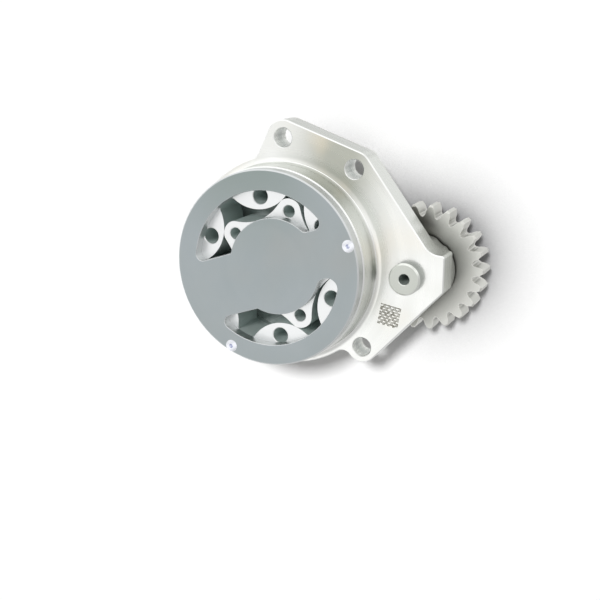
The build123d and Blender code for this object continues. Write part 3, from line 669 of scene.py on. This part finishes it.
    edgeTurn = addNode(tree, "GeometryNodeInputMeshEdgeAngle", (15, 3))
    shallow = addNode(tree, "FunctionNodeCompare", (16, 3), operation="LESS_THAN")
    link(tree, edgeTurn.outputs["Unsigned Angle"], shallow.inputs[0])
    shallow.inputs[1].default_value = radians(gearForm["smoothBelow"])
    smooth = addNode(tree, "GeometryNodeSetShadeSmooth", (17, 0), domain="EDGE")
    link(tree, cut.outputs["Mesh"], smooth.inputs["Geometry"])
    link(tree, shallow.outputs[0], smooth.inputs["Shade Smooth"])
    finishTree(tree, smooth.outputs[0], take["Material"], give, 18)
    return tree


wheelTree = buildWheelTree()
wheels = {
    "drive_gear": {"teeth": 24, "bore": 0.007, "centre": shaftAxis, "turn": -0.3917, "keyed": True,
                   "body": "shaft"},
    "idler_gear": {"teeth": 22, "bore": 0.0091, "centre": pinAxis, "turn": 1.5, "keyed": False,
                   "body": "idler"},
}
unusedBlock = (0.001,) * 3    # small enough to stand free in the open bore of a wheel without a key


def growWheel(name, wheel):
    low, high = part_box(name)
    length = high.y - low.y
    lift = wheel["bore"] - gearForm["keyHeight"] * gearForm["keySunk"] + gearForm["keyHeight"] / 2
    keySize = (gearForm["keyWidth"], length * 2, gearForm["keyHeight"])
    if not wheel["keyed"]:
        keySize, lift = unusedBlock, 0.0
    values = {
        "Teeth": wheel["teeth"], "Module": gearForm["module"],
        "Pressure Angle": gearForm["pressureAngle"], "Root Depth": gearForm["rootDepth"],
        "Backlash": gearForm["backlash"], "Tip Chamfer": gearForm["tipChamfer"],
        "Bore Radius": wheel["bore"], "Hub Radius": wheel["bore"] + gearForm["hubWall"],
        "Rim Wall": gearForm["rimWall"],
        "Recess": gearForm["recess"], "Front": low.y, "Rear": high.y, "Turn": radians(wheel["turn"]),
        "Centre": (wheel["centre"].x, 0, wheel["centre"].z), "Key Size": keySize,
        "Key Lift": lift, "Material": materials["gear"]}
    piece = growPiece(name + "_wheel", wheelTree, values, name, wheel["body"],
                      materials["gear"])
    print(name, "grown:", len(piece.data.polygons), "faces")


for name, wheel in wheels.items():
    growWheel(name, wheel)


# The etched mark is a plain hatch of dots on the mounting face.
markForm = {"side": 0.0100, "dots": 16, "dot": 0.00062, "proud": 0.00002, "sunk": 0.00001,
            "middle": (0.0538, -0.0209), "turn": 10.0, "weave": 4, "wear": 0.35, "seed": 7}


def buildMarkTree():
    tree, take, give = newTree("etchedHatch", [
        ("Side", "NodeSocketFloat", 0.01), ("Dots", "NodeSocketInt", 16),
        ("Dot Size", "NodeSocketFloat", 0.0005), ("Thickness", "NodeSocketFloat", 0.00003),
        ("Weave", "NodeSocketInt", 4), ("Wear", "NodeSocketFloat", 0.3), ("Seed", "NodeSocketInt", 0),
        ("Centre", "NodeSocketVector", (0, 0, 0)), ("Turn", "NodeSocketFloat", 0.0),
        ("Material", "NodeSocketMaterial", None)])

    calc = calculator(tree)
    grid = addNode(tree, "GeometryNodeMeshGrid", (-4, 0))
    for socket in ("Size X", "Size Y"):
        link(tree, calc("SUBTRACT", take["Side"], take["Dot Size"]), grid.inputs[socket])
    for socket in ("Vertices X", "Vertices Y"):
        link(tree, take["Dots"], grid.inputs[socket])
    index = addNode(tree, "GeometryNodeInputIndex", (-4, 3)).outputs[0]
    across = calc("FLOOR", calc("DIVIDE", calc("ADD", index, 0.5), take["Dots"]))
    along = calc("SUBTRACT", index, calc("MULTIPLY", across, take["Dots"]))
    half = calc("MULTIPLY", take["Weave"], 0.5)
    risingPlace = calc("FLOORED_MODULO", calc("ADD", across, along), take["Weave"])
    fallingPlace = calc("FLOORED_MODULO", calc("SUBTRACT", across, along), take["Weave"])
    rising = calc("LESS_THAN", risingPlace, half)
    falling = calc("LESS_THAN", fallingPlace, half)
    kept = calc("GREATER_THAN", calc("ADD", rising, falling), 0.5)
    dot = addNode(tree, "GeometryNodeMeshCube", (0, 3))
    size = combine(tree, take["Dot Size"], take["Dot Size"], take["Thickness"], (-1, 3))
    link(tree, size, dot.inputs["Size"])
    wear = addNode(tree, "FunctionNodeRandomValue", (0, 5), data_type="FLOAT")
    link(tree, calc("SUBTRACT", 1, take["Wear"]), wear.inputs[2])
    wear.inputs[3].default_value = 1.0
    link(tree, take["Seed"], wear.inputs["Seed"])
    scale = combine(tree, wear.outputs[1], wear.outputs[1], 1.0, (2, 5))
    spread = addNode(tree, "GeometryNodeInstanceOnPoints", (4, 0))
    link(tree, grid.outputs["Mesh"], spread.inputs["Points"])
    link(tree, kept, spread.inputs["Selection"])
    link(tree, dot.outputs["Mesh"], spread.inputs["Instance"])
    link(tree, scale, spread.inputs["Scale"])
    turn = combine(tree, pi / 2, take["Turn"], 0, (5, 3))
    stand = addNode(tree, "GeometryNodeTransform", (6, 0))
    link(tree, spread.outputs[0], stand.inputs["Geometry"])
    link(tree, turn, stand.inputs["Rotation"])
    link(tree, take["Centre"], stand.inputs["Translation"])
    finishTree(tree, stand.outputs[0], take["Material"], give, 7)
    return tree


def growMark():
    depth = markForm["proud"] + markForm["sunk"]
    values = {
        "Side": markForm["side"], "Dots": markForm["dots"], "Dot Size": markForm["dot"],
        "Thickness": depth, "Weave": markForm["weave"], "Wear": markForm["wear"],
        "Seed": markForm["seed"],
        "Centre": (markForm["middle"][0], depth / 2 - markForm["proud"], markForm["middle"][1]),
        "Turn": radians(markForm["turn"]), "Material": materials["mark"]}
    mark = growPiece("etched_hatch", buildMarkTree(), values, None, "housing",
                     materials["mark"])
    print("mark grown:", len(mark.data.polygons), "faces")


growMark()


# The table stands behind the gears and is seen from the front only.
tableForm = {"size": 4.0, "gap": 0.0002, "shadeReach": 0.034, "shadeDepth": 1.4, "paper": (1, 1, 1),
             "shade": (0.10, 0.10, 0.11), "roughness": 0.9}


def buildTable():
    size, gap = tableForm["size"], tableForm["gap"]
    height = cadBox[1].y + gap
    mesh = bpy.data.meshes.new("table")
    corners = [(-size, height, -size), (size, height, -size), (size, height, size), (-size, height, size)]
    mesh.from_pydata(corners, [], [(0, 1, 2, 3)])
    table = bpy.data.objects.new("table", mesh)
    bpy.context.scene.collection.objects.link(table)
    material = bpy.data.materials.new("tablePaper")
    material.use_nodes = True
    tree = material.node_tree
    shader = tree.nodes["Principled BSDF"]
    # Painted shade: the table's colour darkens near the pump, on top of the sun's own shadow.
    nearby = addNode(tree, "ShaderNodeAmbientOcclusion", (-4, 0), samples=groupForm["shadeSamples"])
    nearby.inputs["Distance"].default_value = tableForm["shadeReach"]
    covered = mathNode(tree, "SUBTRACT", 1, nearby.outputs["AO"], place=(-3, 0))
    shade = mathNode(tree, "MULTIPLY", covered, tableForm["shadeDepth"], place=(-2, 0), clamp=True)
    paper = mixColour(tree, shade, tableForm["paper"], tableForm["shade"], (-1, 0))
    link(tree, paper, shader.inputs["Base Color"])
    shader.inputs["Roughness"].default_value = tableForm["roughness"]
    shader.inputs["Specular IOR Level"].default_value = 0
    clear = addNode(tree, "ShaderNodeBsdfTransparent", (1, 2))
    side = addNode(tree, "ShaderNodeNewGeometry", (0, 3))
    rays = addNode(tree, "ShaderNodeLightPath", (0, 5))
    fromFront = mathNode(tree, "SUBTRACT", rays.outputs["Is Camera Ray"], side.outputs["Backfacing"],
                         place=(1, 4), clamp=True)
    mix = addNode(tree, "ShaderNodeMixShader", (2, 1))
    link(tree, fromFront, mix.inputs[0])
    link(tree, clear.outputs[0], mix.inputs[1])
    link(tree, shader.outputs[0], mix.inputs[2])
    link(tree, mix.outputs[0], tree.nodes["Material Output"].inputs[0])
    mesh.materials.append(material)
    return table


studio = {
    "ambient": 0.31, "panelBlue": 0.99, "frontAxis": (-0.55, -0.2, 0.8), "rearFrom": -0.1, "rearTo": 0.35,
    "frontPanels": [(0.0, 0.54), (0.34, 0.65), (0.48, 1.11), (0.62, 1.13), (0.72, 0.86), (0.85, 1.13),
                    (1.0, 1.18)],
    "rearPanels": [(0.0, 0.95), (0.08, 1.0), (0.24, 0.80), (0.333, 0.78), (0.406, 0.60), (0.47, 0.72),
                   (0.52, 0.95), (0.56, 0.56), (0.605, 0.98), (0.655, 1.0), (0.70, 0.72), (0.74, 0.95),
                   (0.79, 0.90), (0.84, 0.62), (0.88, 0.86), (0.92, 1.05), (0.95, 0.66), (1.0, 0.95)],
}


def levelRamp(tree, stops, place):
    ramp = addNode(tree, "ShaderNodeValToRGB", place)
    for position, level in stops[1:-1]:
        ramp.color_ramp.elements.new(position)
    for element, (position, level) in zip(ramp.color_ramp.elements, stops):
        element.position = position
        element.color = (level, level, level * studio["panelBlue"], 1)
    return ramp


def buildWorld():
    # White to the camera, plain grey light for matt surfaces, and a room of soft panels for metal.
    world = bpy.data.worlds.new("studio")
    bpy.context.scene.world = world
    world.use_nodes = True
    tree = world.node_tree
    background = tree.nodes["Background"]
    rays = addNode(tree, "ShaderNodeLightPath", (-6, 0))
    place = addNode(tree, "ShaderNodeTexCoord", (-10, 2))
    facing = addNode(tree, "ShaderNodeVectorMath", (-8, 2), operation="DOT_PRODUCT")
    facing.inputs[1].default_value = Vector(studio["frontAxis"]).normalized()
    link(tree, place.outputs["Generated"], facing.inputs[0])
    lift = mathNode(tree, "MULTIPLY_ADD", facing.outputs["Value"], 0.5, 0.5, (-7, 2))
    front = levelRamp(tree, studio["frontPanels"], (-5, 2))
    link(tree, lift, front.inputs[0])
    split = addNode(tree, "ShaderNodeSeparateXYZ", (-9, 5))
    link(tree, place.outputs["Generated"], split.inputs[0])
    around = mathNode(tree, "ARCTAN2", split.outputs[2], split.outputs[0], place=(-8, 5))
    turn = mathNode(tree, "MULTIPLY_ADD", around, 1 / (2 * pi), 0.5, (-7, 5))
    rear = levelRamp(tree, studio["rearPanels"], (-5, 5))
    link(tree, turn, rear.inputs[0])
    behind = smoothStep(tree, split.outputs[1], studio["rearFrom"], studio["rearTo"], (-7, 8))
    panels = mixColour(tree, behind, front.outputs[0], rear.outputs[0], (-3, 3))
    ambient = (studio["ambient"],) * 3
    forMetal = mixColour(tree, rays.outputs["Is Glossy Ray"], ambient, panels, (-2, 1))
    forAll = mixColour(tree, rays.outputs["Is Camera Ray"], forMetal, (1, 1, 1), (-1, 1))
    link(tree, forAll, background.inputs["Color"])


# One sun lights the pump and the other the table alone, so the shadow is placed without changing the
# light in the pockets.
suns = {
    "sun": {"strength": 2.5, "spread": 13, "from": (-0.10, -0.92, 0.37), "table": "EXCLUDE"},
    "shadowSun": {"strength": 2.5, "spread": 8, "from": (0.17, -0.92, 0.37), "table": "INCLUDE"},
}


def buildSun(name, values, table):
    data = bpy.data.lights.new(name, "SUN")
    data.energy = values["strength"]
    data.angle = radians(values["spread"])
    sun = bpy.data.objects.new(name, data)
    bpy.context.scene.collection.objects.link(sun)
    sun.rotation_euler = Vector(values["from"]).to_track_quat("Z", "Y").to_euler()
    sun.visible_glossy = False    # metal is lit by the panels alone
    reach = bpy.data.collections.new(name + "Reach")
    reach.objects.link(table)
    sun.light_linking.receiver_collection = reach
    reach.collection_objects[0].light_linking.link_state = values["table"]


viewPoint = {"azimuth": 24.0, "elevation": 15.11, "roll": 0.41, "distance": 0.5,
             "pixelsPerMetre": 2137.5, "centre": (0.030, 0.005, 0.005), "aim": (-0.02146, -0.02167),
             "imageSize": 600, "sensor": 36, "clip": (0.01, 20)}


def buildCamera():
    azimuth, elevation = radians(viewPoint["azimuth"]), radians(viewPoint["elevation"])
    right = Vector((cos(azimuth), sin(azimuth), 0))
    forward = Vector((-sin(azimuth) * cos(elevation), cos(azimuth) * cos(elevation), -sin(elevation)))
    up = right.cross(forward)
    target = Vector(viewPoint["centre"]) + right * viewPoint["aim"][0] + up * viewPoint["aim"][1]
    data = bpy.data.cameras.new("camera")
    data.sensor_width = viewPoint["sensor"]
    focal = viewPoint["pixelsPerMetre"] * viewPoint["distance"]
    data.lens = data.sensor_width * focal / viewPoint["imageSize"]
    data.clip_start, data.clip_end = viewPoint["clip"]
    camera = bpy.data.objects.new("camera", data)
    bpy.context.scene.collection.objects.link(camera)
    roll = Matrix.Rotation(radians(viewPoint["roll"]), 4, "Z")
    turn = Matrix((right, up, -forward)).transposed().to_4x4() @ roll
    camera.matrix_world = Matrix.Translation(target - forward * viewPoint["distance"]) @ turn
    bpy.context.scene.camera = camera


table = buildTable()
buildWorld()
for name, values in suns.items():
    buildSun(name, values, table)
buildCamera()
bpy.context.scene.view_settings.view_transform = "Standard"
print("studio built")
